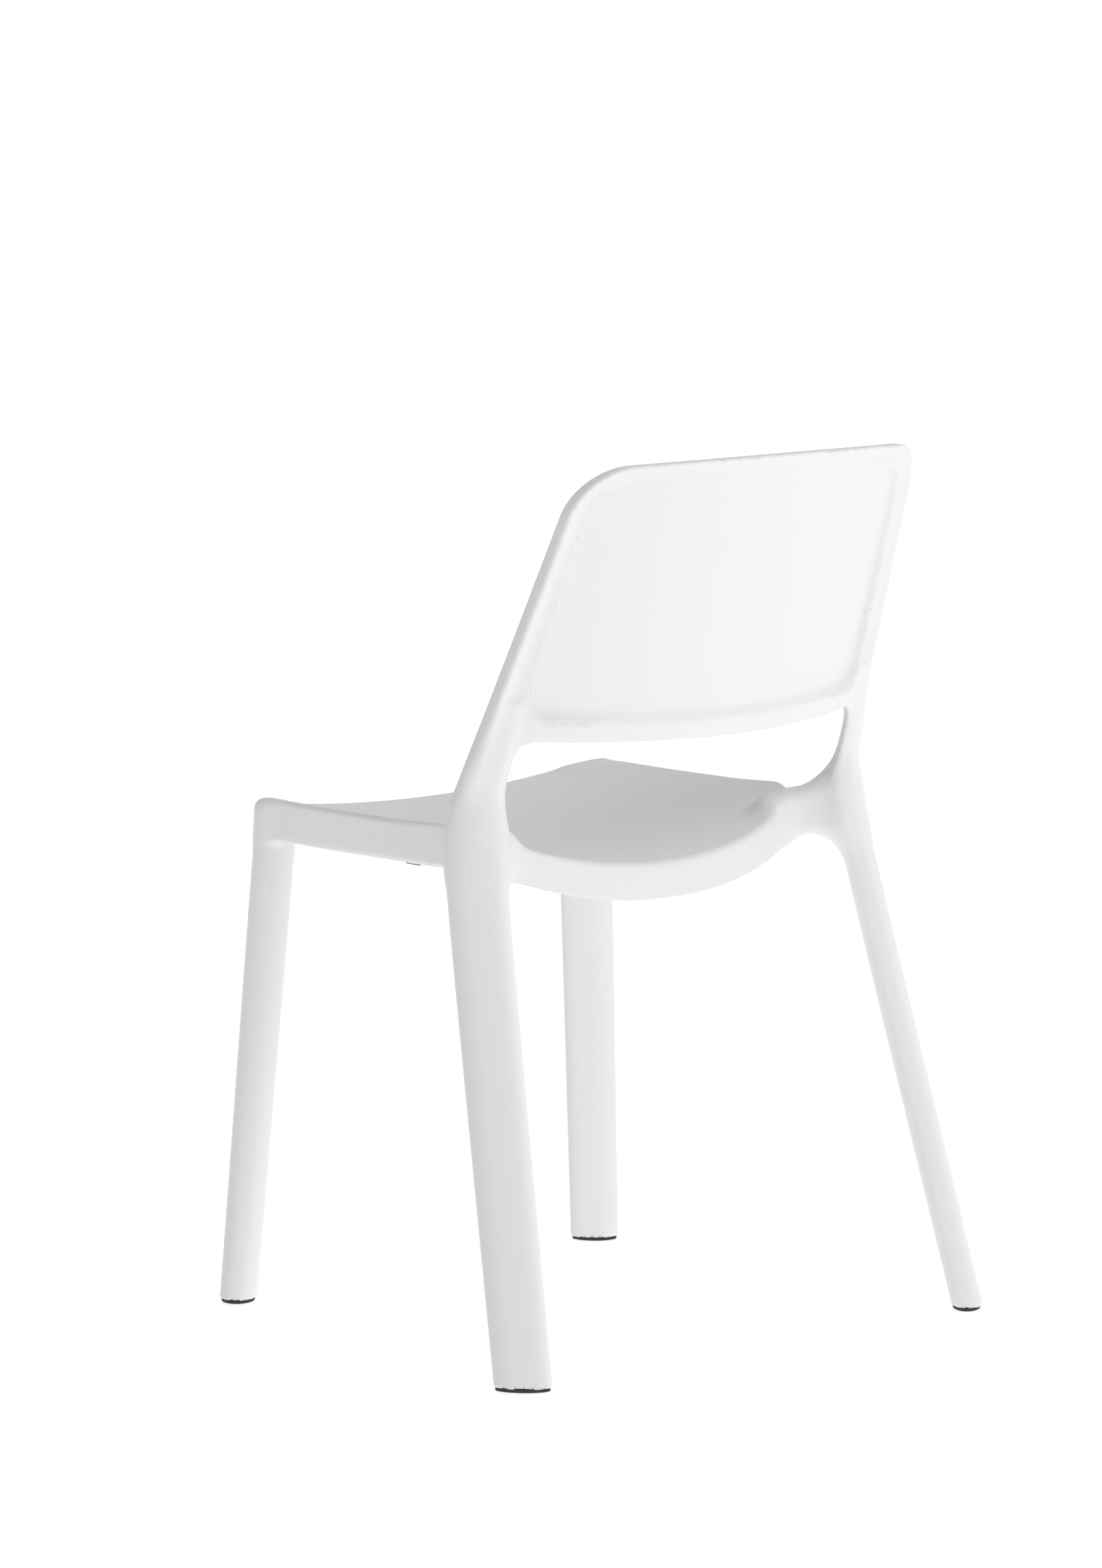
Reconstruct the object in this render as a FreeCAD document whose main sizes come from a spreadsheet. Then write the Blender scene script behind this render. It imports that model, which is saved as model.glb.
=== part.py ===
"""Stacking chair: a one-piece polypropylene moulding on four pressed-in rubber glides.

Frame: millimetres, +Z up, the chair faces -Y, +X is the sitter's left.
Origin: the middle of the chair's footprint, on the floor.

The moulding is stored as regions (seat, aprons, legs, stiles, rails, back panel).
Neighbouring regions are cut by each other, so they meet face to face.
"""
import FreeCAD, Part
import math
import os

Vector = FreeCAD.Vector
LEFT = 1
RIGHT = -1
SIDES = (("left", LEFT), ("right", RIGHT))

# alias, value (mm or degrees), what it is
SIZES = (
    ("total_height", 810, "floor to the top of the back"),
    ("glide_height", 3, "rubber showing under each leg"),
    ("glide_inset", 1.5, "glide edge set in from the foot outline"),
    ("stem_diameter", 12, "glide stem and its socket"),
    ("stem_length", 20, "glide stem above the foot face"),
    ("stem_end_gap", 1, "air above the stem in its socket"),
    ("plug_height", 32, "solid foot below the hollow of the leg"),
    ("leg_wall", 5, "wall of the hollow legs"),
    ("rim_wall", 4, "wall of the hollow stiles and top rail"),
    ("rear_foot_splay", 37.9, "rear foot centre outboard of its hip"),
    ("rear_foot_rake", 102.7, "rear foot centre behind its hip"),
    ("rear_foot_major", 25.8, "rear foot section, half its long way"),
    ("rear_foot_minor", 14.3, "rear foot section, half its short way"),
    ("rear_hip_outset", 5.9, "rear hip, just below the apron, outboard of the knee"),
    ("rear_hip_setback", 12.2, "rear hip behind the knee"),
    ("hip_drop", 75, "both hips below the seat's side edge"),
    ("rear_leg_major", 27, "rear leg section at the hip, half its long way"),
    ("rear_leg_minor", 14.6, "rear leg section at the hip, half its short way"),
    ("rear_leg_turn", -46, "long way of the rear leg section, from +X"),
    ("knee_outset", 18, "knee, where the rear leg becomes the stile, outboard of the seat"),
    ("knee_setback", 4, "knee behind the middle of the seat's rear edge"),
    ("front_foot_splay", 27.5, "front foot centre outboard of its hip"),
    ("front_foot_rake", 17.9, "front foot centre ahead of its hip"),
    ("front_foot_major", 22.7, "front foot section, half its long way"),
    ("front_foot_minor", 16.7, "front foot section, half its short way"),
    ("front_hip_inset", 16.1, "front hip inboard of the seat's side edge"),
    ("front_hip_setback", 24.4, "front hip behind the seat's front edge"),
    ("front_leg_major", 25.3, "front leg section at the hip, half its long way"),
    ("front_leg_minor", 19.3, "front leg section at the hip, half its short way"),
    ("front_leg_turn", 44, "long way of the front leg section, from +X"),
    ("seat_half_width", 207.5, "middle to the side edge of the seat"),
    ("seat_front", -255, "front edge of the seat"),
    ("seat_rear", 95, "rear edge of the seat at the middle"),
    ("seat_rear_bow", 23, "rear edge at its ends, forward of its middle"),
    ("seat_corner", 35, "plan radius of the front corners"),
    ("seat_flare", 54, "side edge curving out to the knee, along Y"),
    ("seat_side_height", 470, "top of the side edges"),
    ("seat_corner_drop", 5.5, "front corners below the side edges"),
    ("seat_front_drop", 22, "middle of the front edge below the side edges"),
    ("seat_low_drop", 45, "lowest point of the dish below the side edges"),
    ("seat_low_y", 24, "where the dish is lowest"),
    ("seat_rear_drop", 42, "middle of the rear edge below the side edges"),
    ("seat_thickness", 5, "seat panel"),
    ("apron_depth", 37, "seat top to the apron's lower edge"),
    ("apron_wall", 4, "apron band"),
    ("back_curve", 400, "plan radius of the back"),
    ("waist_rise", 73, "waist, the stile section below the back panel, above the seat's side"),
    ("waist_inset", 8.6, "waist centre inboard of the knee"),
    ("waist_setback", 8.1, "waist centre behind the knee"),
    ("waist_major", 19, "stile section at the waist, half its width"),
    ("shoulder_drop", 69, "top of the back down to the top rail's ends"),
    ("shoulder_inset", 26.5, "shoulder inboard of the waist"),
    ("recline", 18.8, "back from the vertical, degrees"),
    ("stile_major", 17.5, "stile section, half its width"),
    ("stile_minor", 11, "stile section, half its thickness"),
    ("back_corner", 45, "radius of the rim's centre line round the top corners"),
    ("top_rail_major", 9, "top rail section, half its height"),
    ("top_rail_minor", 9.5, "top rail section, half its thickness"),
    ("top_crown", 4, "top rail ends below its middle"),
    ("low_rail_lift", 15, "bottom rail's centre at its middle above the waist"),
    ("low_rail_rise", 10, "bottom rail ends above its middle"),
    ("low_rail_major", 9.5, "bottom rail section, half its height"),
    ("low_rail_minor", 9, "bottom rail section, half its thickness"),
    ("panel_thickness", 4, "web inside the back's rim"),
    ("panel_recess", 7, "bottom rail's rear face down to the web's rear face"),
    ("bumper_length", 18, "stacking bumper along the apron"),
    ("bumper_width", 7, "stacking bumper inward from the apron"),
    ("bumper_height", 10, "stacking bumper from top to bottom"),
    ("bumper_drop", 1, "bumper below the apron's lower edge"),
    ("bumper_y", -14, "bumper middle along the side apron"),
    ("peg_diameter", 5, "bumper peg and its hole in the apron"),
    ("peg_length", 2.5, "bumper peg into the apron wall"),
)

# sizes that follow from the driving ones, as sums
SUMS = {
    "seat_front_height": "seat_side_height - seat_front_drop",
    "seat_low_height": "seat_side_height - seat_low_drop",
    "seat_rear_height": "seat_side_height - seat_rear_drop",
    "knee_x": "seat_half_width + knee_outset",
    "knee_y": "seat_rear + knee_setback",
    "knee_height": "seat_side_height",
    "hip_height": "seat_side_height - hip_drop",
    "rear_hip_x": "knee_x + rear_hip_outset",
    "rear_hip_y": "knee_y + rear_hip_setback",
    "rear_foot_x": "rear_hip_x + rear_foot_splay",
    "rear_foot_y": "rear_hip_y + rear_foot_rake",
    "front_hip_x": "seat_half_width - front_hip_inset",
    "front_hip_y": "seat_front + front_hip_setback",
    "front_foot_x": "front_hip_x + front_foot_splay",
    "front_foot_y": "front_hip_y - front_foot_rake",
    "waist_x": "knee_x - waist_inset",
    "waist_y": "knee_y + waist_setback",
    "waist_height": "seat_side_height + waist_rise",
    "low_rail_height": "waist_height + low_rail_lift",
    "shoulder_x": "waist_x - shoulder_inset",
    "shoulder_height": "total_height - shoulder_drop",
}

doc = FreeCAD.newDocument("StackingChair")
sheet = doc.addObject("Spreadsheet::Sheet", "sizes")
for row, (alias, value, note) in enumerate(SIZES, start=1):
    sheet.set(f"A{row}", str(value))
    sheet.set(f"B{row}", note)
    sheet.setAlias(f"A{row}", alias)
doc.recompute()


def size(alias):
    """A driving dimension or a sum of them, as a plain number."""
    if alias not in SUMS:
        return float(sheet.get(alias))
    total = 0.0
    sign = 1
    for word in SUMS[alias].split():
        if word in "+-":
            sign = 1 if word == "+" else -1
        else:
            total += sign * size(word)
    return total


def expression(alias):
    """The same size as an expression over the sheet's cells."""
    if alias not in SUMS:
        return f"sizes.{alias}"
    words = [word if word in "+-" else expression(word) for word in SUMS[alias].split()]
    return "(" + " ".join(words) + ")"


def bind(item, **sizes):
    """Tie an object's properties to expressions."""
    for name, value in sizes.items():
        item.setExpression(name, value)


def place(item, x, y, height):
    """Tie an object's position to expressions."""
    item.setExpression("Placement.Base.x", x)
    item.setExpression("Placement.Base.y", y)
    item.setExpression("Placement.Base.z", height)


def cell(alias, side=1):
    """The expression of a size, mirrored on the right-hand side."""
    return f"{side} * {expression(alias)}"


def between(low, high, height):
    """Expression for a size that runs straight from the foot to the hip, at a height."""
    low = expression(low)
    foot = expression("glide_height")
    share = f"({expression(height)} - {foot}) / ({expression('hip_height')} - {foot})"
    return f"({low} + ({expression(high)} - {low}) * {share})"


# ---------------------------------------------------------------- shared features

def level_ellipse(name, x, y, height, major, minor, turn):
    """A level elliptical section; the arguments are sheet expressions."""
    section = doc.addObject("Part::Ellipse", name)
    section.Placement = FreeCAD.Placement(Vector(), FreeCAD.Rotation(Vector(0, 0, 1), 1))
    bind(section, MajorRadius=major, MinorRadius=minor)
    place(section, x, y, height)
    section.setExpression("Placement.Rotation.Angle", turn)
    return section


def straight_loft(name, sections):
    loft = doc.addObject("Part::Loft", name)
    loft.Sections = sections
    loft.Solid = True
    loft.Ruled = True
    return loft


def cut(name, base, tool):
    result = doc.addObject("Part::Cut", name)
    result.Base = base
    result.Tool = tool
    return result


def fuse(name, *shapes):
    result = doc.addObject("Part::MultiFuse", name)
    result.Shapes = shapes
    return result


def shape_feature(name, shape):
    """A feature that holds a shape worked out from the sheet."""
    feature = doc.addObject("Part::Feature", name)
    feature.Shape = shape
    feature.Placement = FreeCAD.Placement()
    return feature


def ellipse_wire(centre, across, facing, major, minor):
    """Ellipse from a unit circle, so either half-axis may be the longer one."""
    along = across.cross(facing)
    matrix = FreeCAD.Matrix(
        across.x * major, facing.x * minor, along.x, centre.x,
        across.y * major, facing.y * minor, along.y, centre.y,
        across.z * major, facing.z * minor, along.z, centre.z,
        0, 0, 0, 1,
    )
    circle = Part.Wire(Part.Circle(Vector(), Vector(0, 0, 1), 1).toShape())
    return circle.transformGeometry(matrix)


def box_between(low, high):
    return Part.makeBox(high[0] - low[0], high[1] - low[1], high[2] - low[2], Vector(*low))


# ---------------------------------------------------------------- legs

def leg_sections(name, side, leg, inset, foot_height, knee=False):
    """Sections of a leg from foot to top, drawn in by the inset."""
    turn = cell(f"{leg}_leg_turn", side)
    start = {}
    for part in ("x", "y"):
        start[part] = between(f"{leg}_foot_{part}", f"{leg}_hip_{part}", foot_height)
    for part in ("major", "minor"):
        start[part] = between(f"{leg}_foot_{part}", f"{leg}_leg_{part}", foot_height)
    major = f"sizes.{leg}_leg_major - {inset}"
    minor = f"sizes.{leg}_leg_minor - {inset}"
    sections = [
        level_ellipse(f"{name}_low", f"{side} * {start['x']}", start["y"], cell(foot_height),
                      f"{start['major']} - {inset}", f"{start['minor']} - {inset}", turn),
        level_ellipse(f"{name}_hip", cell(f"{leg}_hip_x", side), cell(f"{leg}_hip_y"),
                      cell("hip_height"), major, minor, turn),
    ]
    if knee:
        sections.append(level_ellipse(f"{name}_knee", cell("knee_x", side), cell("knee_y"),
                                      cell("knee_height"), major, minor, turn))
    return sections


def front_top_section(name, side, inset, height):
    """Front leg section carried on along the leg's own line to a height."""
    return level_ellipse(
        name,
        f"{side} * {between('front_foot_x', 'front_hip_x', height)}",
        between("front_foot_y", "front_hip_y", height),
        cell(height),
        f"sizes.front_leg_major - {inset}",
        f"sizes.front_leg_minor - {inset}",
        cell("front_leg_turn", side),
    )


def foot_socket(name, side, leg):
    """Upright bore in the foot for the glide's stem."""
    socket = doc.addObject("Part::Cylinder", name)
    socket.setExpression("Radius", "sizes.stem_diameter / 2")
    socket.setExpression("Height", "sizes.stem_length + sizes.stem_end_gap")
    place(socket, cell(f"{leg}_foot_x", side), cell(f"{leg}_foot_y"), cell("glide_height"))
    return socket


def rear_leg_outer(word, side):
    """Rear leg from its foot to the knee, without its hollow."""
    return straight_loft(f"rear_leg_outer_{word}",
                         leg_sections(f"rear_{word}", side, "rear", "0", "glide_height", True))


def front_leg_outer(word, side):
    """Front leg from its foot to above the seat; the seat trims it."""
    sections = leg_sections(f"front_{word}", side, "front", "0", "glide_height")
    sections.append(front_top_section(f"front_{word}_top", side, "0", "seat_side_height"))
    return straight_loft(f"front_leg_outer_{word}", sections)


def leg_hollow(word, side, leg):
    """Gas channel inside a leg."""
    wall = "sizes.leg_wall"
    name = f"{leg}_hollow_{word}"
    sections = leg_sections(name, side, leg, wall, "plug_height", leg == "rear")
    return straight_loft(name, sections)


# ---------------------------------------------------------------- seat

def dish_height(x, y):
    """Top of the seat at a place in plan."""
    low_y = size("seat_low_y")
    if y < low_y:
        end_y = size("seat_front")
        end_height = size("seat_front_height")
    else:
        end_y = size("seat_rear")
        end_height = size("seat_rear_height")
    rise = end_height - size("seat_low_height")
    centre = size("seat_low_height") + rise * ((y - low_y) / (end_y - low_y)) ** 2
    corner = max(0.0, (size("seat_front") + 2 * size("seat_corner") - y) / (2 * size("seat_corner")))
    side = size("seat_side_height") - size("seat_corner_drop") * corner ** 2
    across = min(1.0, abs(x) / size("seat_half_width")) ** 2.1
    return centre + (side - centre) * across


def dished_block(top_offset, bottom_offset):
    """Block between two copies of the seat's top surface, moved up or down."""
    half = size("seat_half_width")
    shares = (0, 0.25, 0.5, 0.75, 0.9, 1, 1.15)
    across = [-half * share for share in reversed(shares[1:])] + [half * share for share in shares]
    reach = 20
    front = size("seat_front") - reach
    rear = size("seat_rear") + size("seat_rear_bow") + reach
    stations = 8
    wires = []
    for index in range(stations):
        y = front + (rear - front) * index / (stations - 1)
        edges = []
        curves = []
        for offset in (top_offset, bottom_offset):
            curve = Part.BSplineCurve()
            curve.interpolate([Vector(x, y, dish_height(x, y) + offset) for x in across])
            curves.append(curve)
        edges.append(curves[0].toShape())
        edges.append(Part.makeLine(curves[0].EndPoint, curves[1].EndPoint))
        edges.append(curves[1].toShape())
        edges.append(Part.makeLine(curves[1].StartPoint, curves[0].StartPoint))
        wires.append(Part.Wire(Part.__sortEdges__(edges)))
    return Part.makeLoft(wires, True, False)


def seat_outline(inset):
    """Plan of the seat: rounded front corners, a bowed rear edge, flares into the rear legs."""
    half = size("seat_half_width") - inset
    front = size("seat_front") + inset
    rear = size("seat_rear") - inset
    radius = size("seat_corner") - inset
    knee = Vector(size("knee_x"), size("knee_y"), 0)
    flare_start = Vector(half, knee.y - size("seat_flare"), 0)
    bow_end = Vector(0.76 * half, rear - size("seat_rear_bow"), 0)
    mid = radius * (1 - math.sqrt(0.5))

    def mirrored(point):
        return Vector(-point.x, point.y, 0)

    def arc(first, middle, last):
        return Part.Arc(first, middle, last).toShape()

    corner = (Vector(half - radius, front, 0), Vector(half - mid, front + mid, 0),
              Vector(half, front + radius, 0))
    flare = (flare_start, (flare_start + knee) * 0.5 + Vector(-3, 3, 0), knee)
    inner = (knee, (knee + bow_end) * 0.5 + Vector(0, -4, 0), bow_end)
    left = [arc(*corner), Part.makeLine(corner[2], flare_start), arc(*flare), arc(*inner)]
    right = []
    for points in (corner, flare, inner):
        right.append(arc(*[mirrored(point) for point in points]))
    right.append(Part.makeLine(mirrored(corner[2]), mirrored(flare_start)))
    rear_edge = arc(bow_end, Vector(0, rear, 0), mirrored(bow_end))
    front_edge = Part.makeLine(corner[0], mirrored(corner[0]))
    return Part.Wire(Part.__sortEdges__(left + right + [rear_edge, front_edge]))


def plan_prism(inset):
    """The seat's plan carried up through the whole seat and apron."""
    face = Part.Face(seat_outline(inset))
    base = size("seat_low_height") - 3 * size("apron_depth")
    face.translate(Vector(0, 0, base))
    return face.extrude(Vector(0, 0, size("knee_height") + size("apron_depth") - base))


def seat_panel(stiles_and_legs):
    slab = dished_block(0, -size("seat_thickness"))
    panel = slab.common(plan_prism(0))
    for shape in stiles_and_legs:
        panel = panel.cut(shape)
    return panel


def apron_band():
    """The whole skirt under the seat, before it is shared between aprons and legs."""
    band = plan_prism(0).cut(plan_prism(size("apron_wall")))
    return band.common(dished_block(-size("seat_thickness"), -size("apron_depth")))


def band_zones():
    """Boxes that share the skirt between four aprons and four leg tops."""
    far = 2 * size("rear_foot_x")
    top = size("total_height")
    front_x = size("front_hip_x") - size("front_leg_major")
    rear_x = size("knee_x") - size("seat_flare")
    front_y = size("front_hip_y") + size("front_leg_major")
    rear_y = size("knee_y") - size("seat_flare")
    zones = {
        "apron_front": ((-front_x, -far, 0), (front_x, front_y, top)),
        "apron_rear": ((-rear_x, rear_y, 0), (rear_x, far, top)),
        "apron_left": ((front_x, front_y, 0), (far, rear_y, top)),
        "apron_right": ((-far, front_y, 0), (-front_x, rear_y, top)),
        "front_left": ((front_x, -far, 0), (far, front_y, top)),
        "front_right": ((-far, -far, 0), (-front_x, front_y, top)),
        "rear_left": ((rear_x, rear_y, 0), (far, far, top)),
        "rear_right": ((-far, rear_y, 0), (-rear_x, far, top)),
    }
    return {name: box_between(*corners) for name, corners in zones.items()}


# ---------------------------------------------------------------- back

def back_depth(x, height):
    """Middle of the back's thickness: an arc in plan, carried up along the recline."""
    curve = size("back_curve")
    waist_sag = curve - math.sqrt(curve ** 2 - size("waist_x") ** 2)
    middle = size("waist_y") + waist_sag
    middle += (height - size("waist_height")) * math.tan(math.radians(size("recline")))
    return middle - curve + math.sqrt(curve ** 2 - x ** 2)


def back_point(x, height):
    return Vector(x, back_depth(x, height), height)


def facing_at(x):
    """Level direction square to the back, pointing behind the chair."""
    angle = math.asin(x / size("back_curve"))
    return Vector(math.sin(angle), math.cos(angle), 0)


def rim_sections(line, majors, minors, inset):
    """Ellipses square to a front-view line that lies on the back's curved surface."""
    points = [back_point(x, height) for x, height in line]
    wires = []
    for index, point in enumerate(points):
        before = points[max(0, index - 1)]
        after = points[min(len(points) - 1, index + 1)]
        along = (after - before).normalize()
        across = facing_at(point.x).cross(along).normalize()
        facing = along.cross(across)
        wires.append(ellipse_wire(point, across, facing, majors[index] - inset, minors[index] - inset))
    return wires


def top_rail_line():
    """Front-view line of the rim over the top, from shoulder to shoulder."""
    radius = size("back_corner")
    rail_height = size("total_height") - size("top_rail_major")
    end_height = rail_height - size("top_crown")
    centre_x = size("shoulder_x") - radius
    half = [(centre_x * 0.5, rail_height - size("top_crown") * 0.25)]
    for degrees in (90, 60, 30):
        turn = math.radians(degrees)
        half.append((centre_x + radius * math.cos(turn), end_height - radius * (1 - math.sin(turn))))
    half.append((size("shoulder_x"), size("shoulder_height")))
    return [(-x, height) for x, height in reversed(half)] + [(0, rail_height)] + half


def top_rail(inset):
    """Top rail with both top corners; the stiles' section thins to the rail's round each corner."""
    line = top_rail_line()
    majors = []
    minors = []
    corner_steps = 4
    for index in range(len(line)):
        share = min(1, min(index, len(line) - 1 - index) / corner_steps)
        majors.append(size("stile_major") + share * (size("top_rail_major") - size("stile_major")))
        minors.append(size("stile_minor") + share * (size("top_rail_minor") - size("stile_minor")))
    return Part.makeLoft(rim_sections(line, majors, minors, inset), True, False)


def low_rail():
    """Solid rail along the bottom of the back, from stile to stile."""
    line = []
    for step in range(-4, 5):
        share = step / 4
        height = size("low_rail_height") + size("low_rail_rise") * share ** 2
        line.append((share * size("waist_x"), height))
    majors = [size("low_rail_major")] * len(line)
    minors = [size("low_rail_minor")] * len(line)
    return Part.makeLoft(rim_sections(line, majors, minors, 0), True, False)


def stile(side, inset):
    """Back stile: the leg's level section at the knee, turning to the back's line by the waist."""
    waist_turn = math.degrees(math.asin(size("waist_x") / size("back_curve")))
    knee = Vector(-size("knee_x"), size("knee_y"), size("knee_height"))
    waist = back_point(-size("waist_x"), size("waist_height"))
    wires = []
    for centre, turn, major, minor in (
        (knee, -size("rear_leg_turn"), size("rear_leg_major"), size("rear_leg_minor")),
        (waist, waist_turn, size("waist_major"), size("stile_minor")),
    ):
        angle = math.radians(turn)
        across = Vector(math.cos(angle), math.sin(angle), 0)
        facing = Vector(-math.sin(angle), math.cos(angle), 0)
        wires.append(ellipse_wire(centre, across, facing, major - inset, minor - inset))
    line = top_rail_line()
    count = len(line)
    shoulder = rim_sections(line, [size("stile_major")] * count, [size("stile_minor")] * count, inset)[0]
    right = Part.makeLoft(wires + [shoulder], True, False)
    return right if side == RIGHT else right.mirror(Vector(), Vector(1, 0, 0))


def web():
    """Curved sheet that fills the rim, before the rim is cut out of it."""
    curve = size("back_curve")
    half_angle = math.asin(size("waist_x") / curve)
    low = size("low_rail_height")
    high = size("total_height") - size("top_rail_major")
    middle = back_depth(0, low) + size("low_rail_minor") - size("panel_recess")
    middle -= size("panel_thickness") / 2
    edges = []
    ends = []
    for radius in (curve - size("panel_thickness") / 2, curve + size("panel_thickness") / 2):
        centre = Vector(0, middle - curve, low)
        points = []
        for angle in (-half_angle, 0, half_angle):
            points.append(centre + Vector(radius * math.sin(angle), radius * math.cos(angle), 0))
        edges.append(Part.Arc(*points).toShape())
        ends.append((points[0], points[2]))
    for first, second in zip(*ends):
        edges.append(Part.makeLine(first, second))
    face = Part.Face(Part.Wire(Part.__sortEdges__(edges)))
    lean = math.tan(math.radians(size("recline")))
    return face.extrude(Vector(0, (high - low) * lean, high - low))


def rim_window():
    """Everything inside the rim's front-view line, right through the back."""
    line = [(-size("waist_x"), size("low_rail_height") + size("low_rail_rise"))]
    line += top_rail_line()
    line.append((size("waist_x"), size("low_rail_height") + size("low_rail_rise")))
    far = 2 * size("rear_foot_x")
    points = [Vector(x, -far, height) for x, height in line]
    middle = Vector(0, -far, size("low_rail_height"))
    edges = [Part.makeLine(first, second) for first, second in zip(points, points[1:])]
    edges.append(Part.Arc(points[-1], middle, points[0]).toShape())
    return Part.Face(Part.Wire(edges)).extrude(Vector(0, 2 * far, 0))


# ---------------------------------------------------------------- rubber parts

BUMPER_BASE = "sizes.seat_side_height - sizes.apron_depth - sizes.bumper_drop"


def glide(word, side, leg):
    """Rubber glide: a pad under the foot and a stem pressed up into its socket."""
    name = f"glide_{leg}_{word}"
    outline = level_ellipse(f"{name}_outline", cell(f"{leg}_foot_x", side), cell(f"{leg}_foot_y"),
                            "0", f"sizes.{leg}_foot_major - sizes.glide_inset",
                            f"sizes.{leg}_foot_minor - sizes.glide_inset",
                            cell(f"{leg}_leg_turn", side))
    pad = doc.addObject("Part::Extrusion", f"{name}_pad")
    pad.Base = outline
    pad.DirMode = "Custom"
    pad.Dir = Vector(0, 0, 1)
    pad.Solid = True
    pad.setExpression("LengthFwd", "sizes.glide_height")
    stem = doc.addObject("Part::Cylinder", f"{name}_stem")
    stem.setExpression("Radius", "sizes.stem_diameter / 2")
    stem.setExpression("Height", "sizes.stem_length + sizes.glide_height")
    place(stem, cell(f"{leg}_foot_x", side), cell(f"{leg}_foot_y"), "0")
    return fuse(name, pad, stem)


def peg(name, side):
    """Bumper peg, from inside the bumper into the apron wall."""
    cylinder = doc.addObject("Part::Cylinder", name)
    cylinder.Placement.Rotation = FreeCAD.Rotation(Vector(0, 0, 1), Vector(side, 0, 0))
    cylinder.setExpression("Radius", "sizes.peg_diameter / 2")
    cylinder.setExpression("Height", "sizes.bumper_width + sizes.peg_length")
    start = f"{side} * (sizes.seat_half_width - sizes.apron_wall - sizes.bumper_width)"
    middle = f"{BUMPER_BASE} + sizes.bumper_height / 2"
    place(cylinder, start, cell("bumper_y"), middle)
    return cylinder


def bumper(word, side):
    """Rubber stacking bumper against the inner face of a side apron."""
    name = f"stack_bumper_{word}"
    block = doc.addObject("Part::Box", f"{name}_block")
    bind(block, Length=cell("bumper_width"), Width=cell("bumper_length"), Height=cell("bumper_height"))
    inner_face = "(sizes.seat_half_width - sizes.apron_wall)"
    start = f"{inner_face} - sizes.bumper_width" if side == LEFT else f"-1 * {inner_face}"
    place(block, start, "sizes.bumper_y - sizes.bumper_length / 2", BUMPER_BASE)
    return fuse(name, block, peg(f"{name}_peg", side))


# ---------------------------------------------------------------- assembly

pieces = []
outers = {}
for word, side in SIDES:
    outers[f"front_{word}"] = front_leg_outer(word, side)
    outers[f"rear_{word}"] = rear_leg_outer(word, side)
    outers[f"stile_{word}"] = shape_feature(f"stile_outer_{word}", stile(side, 0))
    pieces.append(bumper(word, side))
doc.recompute()

band = apron_band()
zones = band_zones()
above_seat = shape_feature("above_seat", dished_block(size("knee_height"), -size("seat_thickness")))
behind_seat = [outers[f"{part}_{word}"].Shape for part in ("rear", "stile") for word, _ in SIDES]
pieces.append(shape_feature("seat_panel", seat_panel(behind_seat)))

for word, side in SIDES:
    corner = shape_feature(f"front_corner_{word}", band.common(zones[f"front_{word}"]))
    trimmed = cut(f"front_leg_trimmed_{word}", outers[f"front_{word}"], above_seat)
    joined = fuse(f"front_leg_joined_{word}", trimmed, corner)
    inside = fuse(f"front_leg_inside_{word}", leg_hollow(word, side, "front"),
                  foot_socket(f"front_socket_{word}", side, "front"))
    pieces.append(cut(f"front_leg_{word}", joined, inside))

    corner = shape_feature(f"rear_corner_{word}", band.common(zones[f"rear_{word}"]))
    joined = fuse(f"rear_leg_joined_{word}", outers[f"rear_{word}"], corner)
    inside = fuse(f"rear_leg_inside_{word}", leg_hollow(word, side, "rear"),
                  foot_socket(f"rear_socket_{word}", side, "rear"))
    pieces.append(cut(f"rear_leg_{word}", joined, inside))

    hollow = shape_feature(f"stile_hollow_{word}", stile(side, size("rim_wall")))
    pieces.append(cut(f"back_stile_{word}", outers[f"stile_{word}"], hollow))
    for leg in ("front", "rear"):
        pieces.append(glide(word, side, leg))

leg_shapes = [outers[f"{leg}_{word}"].Shape for leg in ("front", "rear") for word, _ in SIDES]
for name in ("apron_front", "apron_rear", "apron_left", "apron_right"):
    wall = band.common(zones[name])
    for shape in leg_shapes:
        wall = wall.cut(shape)
    if name in ("apron_left", "apron_right"):
        word = name.split("_")[1]
        whole = shape_feature(f"{name}_undrilled", wall)
        pieces.append(cut(name, whole, peg(f"{name}_hole", dict(SIDES)[word])))
    else:
        pieces.append(shape_feature(name, wall))

top_outer = top_rail(0)
pieces.append(shape_feature("back_top_rail", top_outer.cut(top_rail(size("rim_wall")))))
stile_shapes = [outers[f"stile_{word}"].Shape for word, _ in SIDES]
low_outer = low_rail()
for shape in stile_shapes:
    low_outer = low_outer.cut(shape)
pieces.append(shape_feature("back_bottom_rail", low_outer))
panel = web().common(rim_window())
for shape in stile_shapes + [top_outer, low_outer]:
    panel = panel.cut(shape)
pieces.append(shape_feature("back_panel", panel))
doc.recompute()

# ---------------------------------------------------------------- checks and export

for item in doc.Objects:
    if "Invalid" in item.State or "Error" in item.State:
        raise RuntimeError(f"{item.Name} did not recompute: {item.State}")
for piece in pieces:
    shape = piece.Shape
    if shape.isNull() or not shape.isValid() or len(shape.Solids) != 1:
        raise RuntimeError(f"{piece.Label} is not one valid solid ({len(shape.Solids)} solids)")

os.makedirs("parts", exist_ok=True)
for piece in pieces:
    piece.Shape.exportStep(f"parts/{piece.Label}.step")
    box = piece.Shape.BoundBox
    print(f"{piece.Label:20s} volume {piece.Shape.Volume / 1000:8.1f} cm3   "
          f"x {box.XMin:7.1f} {box.XMax:7.1f}  y {box.YMin:7.1f} {box.YMax:7.1f}  "
          f"z {box.ZMin:6.1f} {box.ZMax:6.1f}")
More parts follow.
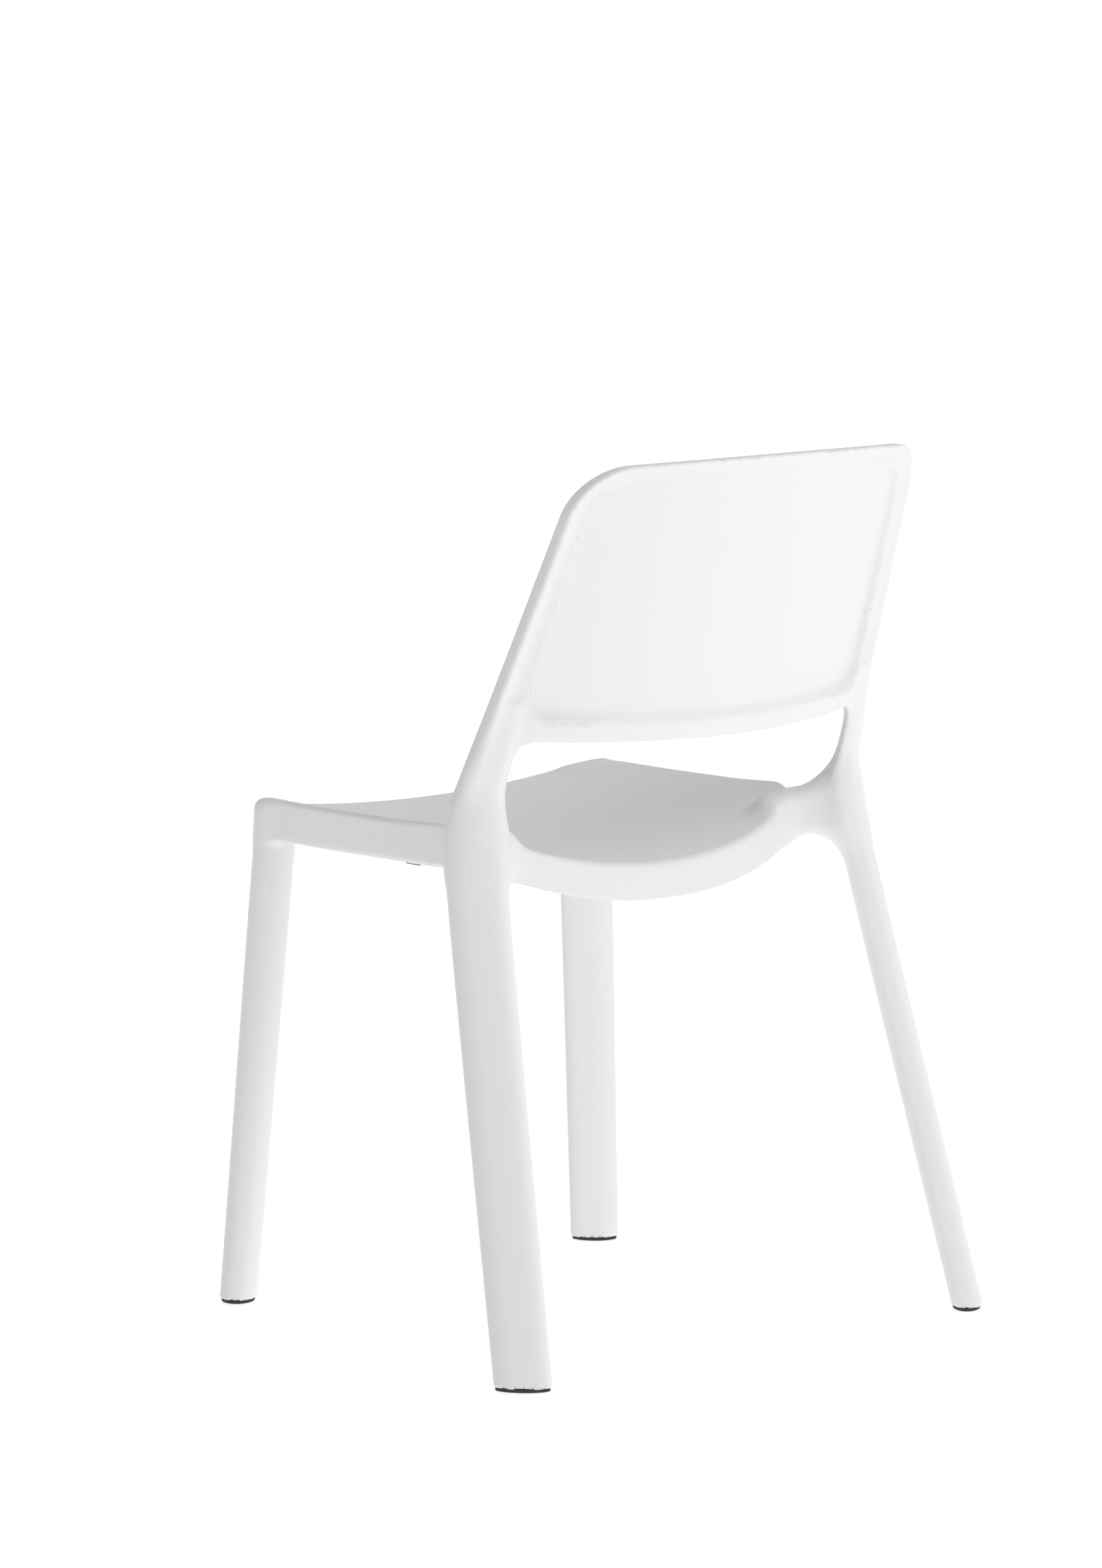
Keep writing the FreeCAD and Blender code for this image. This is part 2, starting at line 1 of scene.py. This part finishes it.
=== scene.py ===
"""Stacking chair, dressed for the camera.

The chair is one plastic moulding, so one smooth skin stands for all its CAD regions. The skin is
the zero level of a signed distance field: rounded tubes for the legs, a curved plate with a
recessed web for the back, a dished shell with a skirt for the seat. Blending the fields gives the
moulded fillets. The field is worked out in millimetres, for the +X half, and mirrored.
"""
import math

import bpy
import numpy as np
import openvdb
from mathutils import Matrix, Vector


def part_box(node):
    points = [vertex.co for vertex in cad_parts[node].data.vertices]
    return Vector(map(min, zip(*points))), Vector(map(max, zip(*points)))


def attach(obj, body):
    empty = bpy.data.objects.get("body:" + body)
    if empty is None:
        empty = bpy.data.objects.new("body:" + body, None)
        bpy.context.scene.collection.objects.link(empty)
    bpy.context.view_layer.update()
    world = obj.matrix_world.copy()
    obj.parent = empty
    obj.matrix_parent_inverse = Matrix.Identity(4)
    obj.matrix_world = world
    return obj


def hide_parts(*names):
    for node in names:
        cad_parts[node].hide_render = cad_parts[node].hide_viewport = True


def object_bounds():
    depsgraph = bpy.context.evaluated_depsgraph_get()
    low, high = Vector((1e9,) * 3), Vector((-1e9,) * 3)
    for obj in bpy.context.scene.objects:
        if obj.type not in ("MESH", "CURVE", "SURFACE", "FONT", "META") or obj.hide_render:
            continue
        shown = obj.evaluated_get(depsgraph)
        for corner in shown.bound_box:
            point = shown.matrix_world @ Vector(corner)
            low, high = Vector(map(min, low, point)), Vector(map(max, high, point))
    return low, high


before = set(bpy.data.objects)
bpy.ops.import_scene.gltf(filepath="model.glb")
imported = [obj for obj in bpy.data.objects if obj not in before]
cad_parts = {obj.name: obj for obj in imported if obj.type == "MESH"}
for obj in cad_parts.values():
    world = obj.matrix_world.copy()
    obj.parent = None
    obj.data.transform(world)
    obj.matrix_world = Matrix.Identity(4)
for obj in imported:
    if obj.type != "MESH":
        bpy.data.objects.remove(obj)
cad_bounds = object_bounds()

MM = 0.001


def box_mm(node):
    """Lowest and highest corner of a CAD node, in millimetres."""
    return [[value / MM for value in corner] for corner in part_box(node)]


def middle_mm(node):
    low, high = box_mm(node)
    return [(a + b) / 2 for a, b in zip(low, high)]


# ---------------------------------------------------------------- places, from the CAD boxes

TOP = cad_bounds[1][2] / MM
REAR_FOOT = middle_mm("glide_rear_left")
FRONT_FOOT = middle_mm("glide_front_left")
FOOT_HEIGHT = box_mm("rear_leg_left")[0][2]
SEAT_HALF = box_mm("apron_left")[1][0]
SEAT_FRONT = box_mm("seat_panel")[0][1]
SEAT_REAR = box_mm("seat_panel")[1][1]
SEAT_SIDE = box_mm("rear_leg_left")[1][2]

# ---------------------------------------------------------------- shape of the moulding, mm

# legs: a section is given by its two half sizes, (major, minor)
HIP = SEAT_SIDE - 75                # height where the legs' middles are given
FOOT_ROUND = 1.5                    # edge round at the bottom of a leg
REAR_HIP = (231.4, 111.2)
REAR_TURN = math.radians(-46)
REAR_SECTION = (25.8, 14.4)         # at the foot
REAR_SWELL = (1.4, 0.3)             # gain up to the hip
FRONT_HIP = (191.4, -230.6)
FRONT_TURN = math.radians(44)
FRONT_SECTION = (22.7, 16.7)
FRONT_SWELL = (2.3, 2.0)
FRONT_TOP_ROUND = 9

# stile: the rear leg above its knee, until it ends inside the back
KNEE_SOFTNESS = 28
STILE_LEAN = 0.41                   # slope in Y
STILE_SPLAY = 0.03                  # slope in X, beyond the leg's own
STILE_WAIST = (216.9, 107.1, 543)   # where the back's plate meets it
STILE_BEHIND = 3.5                  # the round stile stands this far behind the plate's middle
STILE_TURN = math.radians(8)        # further turn of the section
STILE_LOSS = (10, 6.5)              # what the section loses against the leg
STILE_MAJOR_RUN = (440, 530)        # heights between which it does
STILE_MINOR_RUN = (425, 535)
BURIED_RUN = (525, 590)             # heights between which it sinks into the back
BURIED_LOSS = (9, 3)
BURIED_SHIFT = (7, 3.5)             # inwards and forwards

# back plate: facing is the distance behind its middle
BACK_CURVE = 400                    # plan radius
BACK_LEAN = 0.3404                  # slope in Y
BACK_LOW = 490                      # height where the plate's sides end in the stiles
BACK_HALF = 228.7                   # half width at BACK_HALF_HEIGHT, on its rear edge
BACK_HALF_HEIGHT = 565.6
BACK_TAPER = 0.126                  # loss of half width per unit of height
BACK_DRAFT = 0.15                   # and per unit towards the front
BACK_CORNER = 44
RIM_REAR = 5.5
RIM_FRONT = 9
RIM_TWIST = 3.4
RIM_EDGE_ROUND = 3.5
RIM_FRONT_ROUND = 8
GAP_HALF = 203.5
GAP_TOP = 550.2
GAP_CORNER = 24
GAP_CHAMFER_RUN = (570, 542)        # below these heights the stile's inner front edge is cut away
WEB_HALF = 201                      # half width at WEB_HALF_HEIGHT
WEB_HALF_HEIGHT = 595
WEB_TAPER = 0.078
WEB_TOP = 800.5
WEB_LOW = 566
WEB_TOP_CORNER = 46
WEB_LOW_CORNER = 22
WEB_REAR = 0.5
WEB_FRONT = 4.5

# seat
SHELL = 5                           # wall of the seat
SKIRT = 34                          # height of the seat's edge
EDGE_ROUND = 6
FRONT_CORNER = 36                   # plan radii
REAR_CORNER = 34
DISH_DEPTH = 45
DISH_LOW_Y = 24
DISH_FRONT_RISE = 24.5
DISH_REAR_RISE = 3
SIDE_BAND = (185, 205)              # |X| over which the side skirts deepen

# arm: the seat's rear corner, reaching out to the leg
ARM_START = (168.0, 60.0)
ARM_END = (210.0, 89.0)
ARM_HALF_WIDTH = 14
ARM_TOP = (468, 483)                # at its start and at its end
ARM_LOW = (430, 435)
ARM_ROUND = 9

# fillets
FRONT_LEG_FILLET = 9
ARM_FILLET = 22
STILE_FILLET = 12
HIP_FILLET = 38


def rounded(u, v, radius):
    """Inside-distance of a corner between two walls, given the inside-distance of each."""
    short_u = np.maximum(radius - u, 0)
    short_v = np.maximum(radius - v, 0)
    return radius - np.hypot(short_u, short_v) + np.maximum(np.minimum(u, v) - radius, 0)


def blend(a, b, width):
    """Smaller of two distances, with a fillet where they are nearly equal."""
    share = np.clip(0.5 + 0.5 * (b - a) / width, 0, 1)
    return b + (a - b) * share - width * share * (1 - share)


def ramp(value, softness):
    """Zero, then a straight rise from zero, with a soft bend between."""
    return (value + np.sqrt(value * value + softness * softness)) / 2


def rise(value, start, end):
    """Smooth step from 0 at the start to 1 at the end, which may be the lower of the two."""
    share = np.clip((value - start) / (end - start), 0, 1)
    return share * share * (3 - 2 * share)


def tube(across, along, major, minor, turn):
    """Distance to a leg's section in a level plane: an oval that is squarer at one corner.

    The squarer corner is the rear one of a rear leg and the inner one of a front leg.
    """
    u = (across * np.cos(turn) + along * np.sin(turn)) / major
    v = (along * np.cos(turn) - across * np.sin(turn)) / minor
    power = 2.4 + 1.2 * rise(v - u, 0, 2)
    reach = (np.abs(u) ** power + np.abs(v) ** power) ** (1 / power) + 1e-9
    return np.hypot(u * major, v * minor) * (1 - 1 / reach)


def rear_leg(x, y, z):
    """Leg and lower stile: straight to the knee, then leaning back."""
    slope_x = (REAR_HIP[0] - REAR_FOOT[0]) / (HIP - FOOT_HEIGHT)
    slope_y = (REAR_HIP[1] - REAR_FOOT[1]) / (HIP - FOOT_HEIGHT)
    height = z - FOOT_HEIGHT
    waist_y = STILE_WAIST[1] + STILE_BEHIND
    knee = (waist_y - STILE_LEAN * STILE_WAIST[2] - REAR_FOOT[1] + slope_y * FOOT_HEIGHT)
    knee /= slope_y - STILE_LEAN
    above = rise(z, *STILE_MAJOR_RUN)
    slimmer = rise(z, *STILE_MINOR_RUN)
    buried = rise(z, *BURIED_RUN)
    centre_x = REAR_FOOT[0] + slope_x * height + STILE_SPLAY * ramp(z - knee, KNEE_SOFTNESS)
    centre_x = centre_x - BURIED_SHIFT[0] * buried
    centre_y = REAR_FOOT[1] + slope_y * height
    centre_y = centre_y + (STILE_LEAN - slope_y) * ramp(z - knee, KNEE_SOFTNESS)
    centre_y = centre_y - BURIED_SHIFT[1] * buried
    swell = np.clip(height / HIP, 0, 1)
    major = REAR_SECTION[0] + REAR_SWELL[0] * swell - STILE_LOSS[0] * above - BURIED_LOSS[0] * buried
    minor = REAR_SECTION[1] + REAR_SWELL[1] * swell - STILE_LOSS[1] * slimmer - BURIED_LOSS[1] * buried
    turn = REAR_TURN + STILE_TURN * above
    side = -tube(x - centre_x, y - centre_y, major, minor, turn)
    ends = np.minimum(z - FOOT_HEIGHT, BURIED_RUN[1] - z)
    return -rounded(side, ends, FOOT_ROUND)


def front_leg(x, y, z, seat_top):
    """Straight leg that stops just under the seat's top."""
    height = (z - FOOT_HEIGHT) / (HIP - FOOT_HEIGHT)
    centre_x = FRONT_FOOT[0] + (FRONT_HIP[0] - FRONT_FOOT[0]) * height
    centre_y = FRONT_FOOT[1] + (FRONT_HIP[1] - FRONT_FOOT[1]) * height
    major = FRONT_SECTION[0] + FRONT_SWELL[0] * height
    minor = FRONT_SECTION[1] + FRONT_SWELL[1] * height
    side = -tube(x - centre_x, y - centre_y, major, minor, FRONT_TURN)
    top = rounded(side, seat_top - 1 - z, FRONT_TOP_ROUND)
    return -rounded(top, z - FOOT_HEIGHT, FOOT_ROUND)


def back_depth(x, z):
    """Middle of the back's thickness: an arc in plan that leans back as it rises."""
    waist_sag = BACK_CURVE - math.sqrt(BACK_CURVE ** 2 - STILE_WAIST[0] ** 2)
    middle = STILE_WAIST[1] + waist_sag + (z - STILE_WAIST[2]) * BACK_LEAN
    reach = np.sqrt(np.maximum(BACK_CURVE ** 2 - x * x, 1000))
    return middle - BACK_CURVE + reach, x / reach


def back_outline(x, z, facing, stretch_x, stretch_z):
    """Inside-distance to the back's outer edge, which narrows upwards and towards the front."""
    rim_edge = RIM_REAR + 2.9
    outer_x = BACK_HALF - BACK_TAPER * (z - BACK_HALF_HEIGHT) - BACK_DRAFT * (rim_edge - facing)
    outer_z = TOP - 1 - 4.2 * (x / 158) ** 2
    return rounded((outer_x - x) * stretch_x, (outer_z - z) * stretch_z, BACK_CORNER)


def back_gap(x, z, facing, stretch_x, stretch_z):
    """Inside-distance to the opening below the back, wider in front of the stiles' rear edge."""
    gap_x = GAP_HALF + 2 * rise(z, *GAP_CHAMFER_RUN) * np.maximum(4 - facing, 0)
    gap_z = GAP_TOP + 4.3 * (x / 170) ** 2
    return rounded((gap_x - x) * stretch_x, (gap_z - z) * stretch_z, GAP_CORNER)


def back_web(x, z, stretch_x, stretch_z):
    """Inside-distance to the edge of the thin web inside the back's rim."""
    web_x = WEB_HALF - WEB_TAPER * (z - WEB_HALF_HEIGHT)
    web_top = WEB_TOP - 3.5 * (x / 141) ** 2
    web_low = WEB_LOW + 5.4 * (x / 173) ** 2
    web = rounded((web_x - x) * stretch_x, (web_top - z) * stretch_z, WEB_TOP_CORNER)
    return rounded(web, (z - web_low) * stretch_z, WEB_LOW_CORNER)


def back(x, y, z):
    """Back plate: a rim that faces straight back round a thin web, which is sunk at the rear."""
    depth, side_slope = back_depth(x, z)
    facing = (y - depth) / np.sqrt(1 + BACK_LEAN ** 2 + side_slope ** 2)
    stretch_x = np.sqrt(1 + side_slope ** 2)
    stretch_z = math.sqrt(1 + BACK_LEAN ** 2)
    outline = back_outline(x, z, facing, stretch_x, stretch_z)
    edge = np.minimum(outline, -back_gap(x, z, facing, stretch_x, stretch_z))
    web = back_web(x, z, stretch_x, stretch_z)

    wall = 8 + 4 * rise(z, 625, 565)
    twist = RIM_TWIST * np.cos(math.pi * np.clip(outline / 16, 0, 1)) * (1 - rise(outline, 16, 40))
    rim_rear = RIM_REAR + twist
    web_rear = WEB_REAR - 4 * (x / 185) ** 2
    rear_face = rim_rear + (web_rear - rim_rear) * rise(web, 0, wall)
    front_face = RIM_FRONT + (WEB_FRONT - web_rear - RIM_FRONT) * rise(web, -2, 40)
    rear = rounded(edge, rear_face - facing, RIM_EDGE_ROUND)
    front = rounded(edge, facing + front_face, RIM_FRONT_ROUND)
    return -rounded(np.minimum(rear, front), z - BACK_LOW, 12)


def dish(x, y):
    """Top of the seat: low in the middle, higher at the front, highest along the sides."""
    low = SEAT_SIDE - DISH_DEPTH
    front = DISH_FRONT_RISE * np.clip((DISH_LOW_Y - y) / (DISH_LOW_Y - SEAT_FRONT), 0, 1.2) ** 2
    rear = DISH_REAR_RISE * np.clip((y - DISH_LOW_Y) / (SEAT_REAR - DISH_LOW_Y), 0, 1.5) ** 2
    corner = np.clip((SEAT_FRONT + 70 - y) / 70, 0, 1)
    side = SEAT_SIDE + 2 + 2 * rise(y, -150, 50) + 3 * rise(y, -40, 60) - 8 * corner ** 2
    across = np.clip(x / SEAT_HALF, 0, 1) ** 2.1
    centre = low + front + rear
    return centre + (side - centre) * across


def seat_edge(x, y, below):
    """Inside-distance to the seat's outline in plan. The rear band leans out towards its foot."""
    front = rounded(SEAT_HALF - x, y - SEAT_FRONT, FRONT_CORNER)
    lean_out = 0.14 * np.clip(below, 0, SKIRT + 3)
    rear = SEAT_REAR + 2 - 21.5 * (x / 158) ** 2.9 + lean_out - y
    return rounded(front, rear, REAR_CORNER)


def seat(x, y, z):
    """Dished shell with rolled edges and a skirt, open below."""
    top = dish(x, y)
    edge = seat_edge(x, y, top - z)
    skirt = SKIRT + 5 * rise(x, *SIDE_BAND) * rise(y, 60, 20)
    skirt = skirt + 3 * rise(x, *SIDE_BAND) * rise(y, -40, 60)
    block = rounded(edge, top - z, EDGE_ROUND)
    block = rounded(block, z - (top - skirt), 1.6)
    hollow = rounded(edge - SHELL, top - SHELL - z, 8)
    return np.maximum(-block, hollow)


def arm(x, y, z):
    """Rear corner of the seat, reaching out to the leg."""
    start = np.array(ARM_START)
    run = np.array(ARM_END) - start
    share = ((x - start[0]) * run[0] + (y - start[1]) * run[1]) / (run @ run)
    share = np.clip(share, 0, 1)
    off = np.hypot(x - start[0] - share * run[0], y - start[1] - share * run[1])
    top = ARM_TOP[0] + (ARM_TOP[1] - ARM_TOP[0]) * share
    low = ARM_LOW[0] + (ARM_LOW[1] - ARM_LOW[0]) * share
    return -rounded(ARM_HALF_WIDTH - off, np.minimum(top - z, z - low), ARM_ROUND)


def moulding(points):
    """Distance from the moulding's surface; negative inside."""
    x = np.abs(points[:, 0])
    y = points[:, 1]
    z = points[:, 2]
    seat_part = blend(seat(x, y, z), front_leg(x, y, z, dish(x, y)), FRONT_LEG_FILLET)
    seat_part = blend(seat_part, arm(x, y, z), ARM_FILLET)
    upright = blend(rear_leg(x, y, z), back(x, y, z), STILE_FILLET)
    return blend(seat_part, upright, HIP_FILLET)


# ---------------------------------------------------------------- field to mesh

PITCH = 2.6                         # spacing of the field's samples, mm
FLATNESS = 0.03                     # how far the mesh may leave out samples where it is flat
BAND = 4                            # width of the field kept round the surface, in samples
BLOCK = 4                           # samples along a block of the coarse search
NEAR = 2.2                          # reach of the close work round the surface, in blocks


def sample_field(pitch):
    """Field on a grid over the +X half, worked out closely only near the surface."""
    margin = BAND * pitch
    low = np.array((0.0, cad_bounds[0][1] / MM - margin, -margin))
    high = np.array((cad_bounds[1][0] / MM, cad_bounds[1][1] / MM, TOP)) + margin
    block_size = pitch * BLOCK
    middle = (BLOCK - 1) / 2 / BLOCK
    counts = np.ceil((high - low) / block_size).astype(int) + 1
    coarse_axes = [low[i] + (np.arange(counts[i]) + middle) * block_size for i in range(3)]
    mesh = np.stack(np.meshgrid(*coarse_axes, indexing="ij"), -1).reshape(-1, 3)
    coarse = moulding(mesh).reshape(counts)
    near = np.abs(coarse) < NEAR * BLOCK * pitch
    field = coarse.repeat(BLOCK, 0).repeat(BLOCK, 1).repeat(BLOCK, 2).astype(np.float32)
    close = near.repeat(BLOCK, 0).repeat(BLOCK, 1).repeat(BLOCK, 2)
    index = np.argwhere(close)
    field[close] = moulding(low + index * pitch)
    return field, low


def surface_mesh(pitch):
    """Vertices in millimetres and faces of the field's zero level, larger where it is flat."""
    field, low = sample_field(pitch)
    whole = np.concatenate((field[:0:-1], field), axis=0)
    band = BAND * pitch
    grid = openvdb.FloatGrid(background=float(band))
    grid.copyFromArray(np.clip(whole, -band, band))
    points, triangles, quads = grid.convertToPolygons(isovalue=0.0, adaptivity=FLATNESS)
    points = points.astype(float)
    points[:, 0] -= field.shape[0] - 1
    faces = triangles.astype(int).tolist() + quads.astype(int).tolist()
    return points * pitch + low * (0, 1, 1), faces


def slope_of(points, step=0.15):
    """Field value and gradient at points."""
    value = moulding(points)
    gradient = np.empty_like(points)
    for axis in range(3):
        shift = np.zeros(3)
        shift[axis] = step
        gradient[:, axis] = (moulding(points + shift) - moulding(points - shift)) / (2 * step)
    return value, gradient


def settle(points, rounds):
    """Draw the vertices on to the field's zero level; returns them and their normals."""
    for _ in range(rounds):
        value, gradient = slope_of(points)
        length = np.maximum((gradient ** 2).sum(1), 0.05)
        step = np.clip(value / length, -2, 2)
        points = points - gradient * step[:, None]
    value, gradient = slope_of(points)
    normal = gradient / np.sqrt(np.maximum((gradient ** 2).sum(1), 1e-6))[:, None]
    return points, normal


def make_moulding(pitch):
    """Smooth-shaded mesh of the moulding, with the field's own normals."""
    points, faces = surface_mesh(pitch)
    points, normals = settle(points, 3)
    mesh = bpy.data.meshes.new("moulding")
    mesh.from_pydata((points * MM).tolist(), [], faces)
    mesh.polygons.foreach_set("use_smooth", np.ones(len(faces), dtype=bool))
    mesh.update()
    face_normals = np.zeros(len(faces) * 3)
    mesh.polygons.foreach_get("normal", face_normals)
    first = np.array([face[0] for face in faces])
    if (face_normals.reshape(-1, 3) * normals[first]).sum() < 0:
        mesh.flip_normals()
    mesh.normals_split_custom_set_from_vertices(normals.tolist())
    piece = bpy.data.objects.new("moulding", mesh)
    bpy.context.collection.objects.link(piece)
    print("moulding:", len(points), "vertices,", len(faces), "faces")
    return piece


# ---------------------------------------------------------------- materials

def new_material(name, colour, roughness):
    material = bpy.data.materials.new(name)
    material.use_nodes = True
    shader = material.node_tree.nodes["Principled BSDF"]
    shader.inputs["Base Color"].default_value = (*colour, 1)
    shader.inputs["Roughness"].default_value = roughness
    return material, material.node_tree, shader


def add_noise(tree, scale, detail):
    """Noise in the piece's own coordinates, in metres, so scale is in cells per metre."""
    place = tree.nodes.new("ShaderNodeTexCoord")
    noise = tree.nodes.new("ShaderNodeTexNoise")
    noise.inputs["Scale"].default_value = scale
    noise.inputs["Detail"].default_value = detail
    tree.links.new(place.outputs["Object"], noise.inputs["Vector"])
    return noise


def add_bump(tree, shader, height, strength, distance):
    bump = tree.nodes.new("ShaderNodeBump")
    bump.inputs["Strength"].default_value = strength
    bump.inputs["Distance"].default_value = distance
    tree.links.new(height, bump.inputs["Height"])
    tree.links.new(bump.outputs["Normal"], shader.inputs["Normal"])


def spread(tree, value, low, high):
    """Map a value from 0 to 1 on to low to high."""
    node = tree.nodes.new("ShaderNodeMapRange")
    node.inputs["To Min"].default_value = low
    node.inputs["To Max"].default_value = high
    tree.links.new(value, node.inputs["Value"])
    return node.outputs["Result"]


def white_plastic():
    """Satin white polypropylene: fine spark-eroded grain and slow gloss variation."""
    material, tree, shader = new_material("white_plastic", (0.84, 0.84, 0.84), 0.4)
    grain = add_noise(tree, 1400, 3)
    patches = add_noise(tree, 9, 2)
    tree.links.new(spread(tree, patches.outputs["Fac"], 0.36, 0.46), shader.inputs["Roughness"])
    add_bump(tree, shader, grain.outputs["Fac"], 0.25, 0.00006)
    return material


def dark_rubber():
    """Dull dark rubber with a faint moulded grain."""
    material, tree, shader = new_material("dark_rubber", (0.035, 0.035, 0.037), 0.75)
    grain = add_noise(tree, 900, 4)
    tree.links.new(spread(tree, grain.outputs["Fac"], 0.65, 0.85), shader.inputs["Roughness"])
    add_bump(tree, shader, grain.outputs["Fac"], 0.4, 0.0001)
    return material


def pale_floor():
    """Polished white studio floor, lit a little from within so that it stays white."""
    material, tree, shader = new_material("pale_floor", (0.9, 0.9, 0.9), 0.12)
    shader.inputs["Specular IOR Level"].default_value = 0.3
    shader.inputs["Emission Color"].default_value = (1, 1, 1, 1)
    shader.inputs["Emission Strength"].default_value = 0.5
    return material


def set_material(piece, material):
    piece.data.materials.clear()
    piece.data.materials.append(material)


# ---------------------------------------------------------------- camera, light and floor

CAMERA_AZIMUTH = math.radians(40.85)
CAMERA_RISE = math.radians(8.5)
CAMERA_DISTANCE = 6.793
CAMERA_AIM = Vector((0, -0.067, 0.4149))
CAMERA_SHIFT = (0.0048, 0.0655)     # the picture's middle lies right of and above the aim
CAMERA_LENS = 169.87
KEY_PLACE = (-0.6, 3.9, 3.4)
KEY_TARGET = (0, 0, 0.45)
KEY_SIZE = 2.5
KEY_POWER = 38
BRIGHT_SIDE = (-0.8, 0.5, 0.1)      # where the room is brightest
ROOM_STRENGTH = (0.34, 0.9)         # opposite the bright side, and on it
FLOOR_HALF = 60


def add_camera():
    """Long lens from behind and to the chair's left, a little above the seat."""
    towards = Vector((math.sin(CAMERA_AZIMUTH) * math.cos(CAMERA_RISE),
                      math.cos(CAMERA_AZIMUTH) * math.cos(CAMERA_RISE),
                      math.sin(CAMERA_RISE)))
    right = Vector((-math.cos(CAMERA_AZIMUTH), math.sin(CAMERA_AZIMUTH), 0))
    target = CAMERA_AIM + right * CAMERA_SHIFT[0] + Vector((0, 0, CAMERA_SHIFT[1]))
    place = CAMERA_AIM + towards * CAMERA_DISTANCE
    data = bpy.data.cameras.new("camera")
    data.sensor_width = 36
    data.lens = CAMERA_LENS
    data.clip_end = 60
    camera = bpy.data.objects.new("camera", data)
    camera.location = place
    camera.rotation_euler = (target - place).to_track_quat("-Z", "Y").to_euler()
    bpy.context.collection.objects.link(camera)
    bpy.context.scene.camera = camera


def add_area(name, place, target, size, power):
    data = bpy.data.lights.new(name, "AREA")
    data.shape = "DISK"
    data.size = size
    data.energy = power
    light = bpy.data.objects.new(name, data)
    light.location = place
    light.rotation_euler = (Vector(target) - Vector(place)).to_track_quat("-Z", "Y").to_euler()
    bpy.context.collection.objects.link(light)


def add_world():
    """White room, brighter behind the chair's right side and dimmer at its front left."""
    world = bpy.data.worlds.new("studio")
    world.use_nodes = True
    tree = world.node_tree
    place = tree.nodes.new("ShaderNodeTexCoord")
    lean = tree.nodes.new("ShaderNodeVectorMath")
    lean.operation = "DOT_PRODUCT"
    lean.inputs[1].default_value = Vector(BRIGHT_SIDE).normalized()
    tree.links.new(place.outputs["Generated"], lean.inputs[0])
    strength = tree.nodes.new("ShaderNodeMapRange")
    strength.inputs["From Min"].default_value = -1
    strength.inputs["To Min"].default_value = ROOM_STRENGTH[0]
    strength.inputs["To Max"].default_value = ROOM_STRENGTH[1]
    tree.links.new(lean.outputs["Value"], strength.inputs["Value"])
    background = tree.nodes["Background"]
    background.inputs["Color"].default_value = (1, 1, 1, 1)
    tree.links.new(strength.outputs["Result"], background.inputs["Strength"])
    bpy.context.scene.world = world
    bpy.context.scene.view_settings.view_transform = "Standard"


def add_floor():
    half = FLOOR_HALF
    mesh = bpy.data.meshes.new("floor")
    mesh.from_pydata([(-half, -half, 0), (half, -half, 0), (half, half, 0), (-half, half, 0)],
                     [], [(0, 1, 2, 3)])
    floor = bpy.data.objects.new("floor", mesh)
    bpy.context.collection.objects.link(floor)
    set_material(floor, pale_floor())


# ---------------------------------------------------------------- build

RUBBER_NODES = [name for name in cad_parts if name.startswith(("glide", "stack_bumper"))]
MOULDED_NODES = [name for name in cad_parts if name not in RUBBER_NODES]

add_camera()
add_world()
add_area("key", KEY_PLACE, KEY_TARGET, KEY_SIZE, KEY_POWER)
add_floor()

skin = make_moulding(PITCH)
set_material(skin, white_plastic())
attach(skin, "root")
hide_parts(*MOULDED_NODES)

rubber = dark_rubber()
for name in RUBBER_NODES:
    set_material(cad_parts[name], rubber)
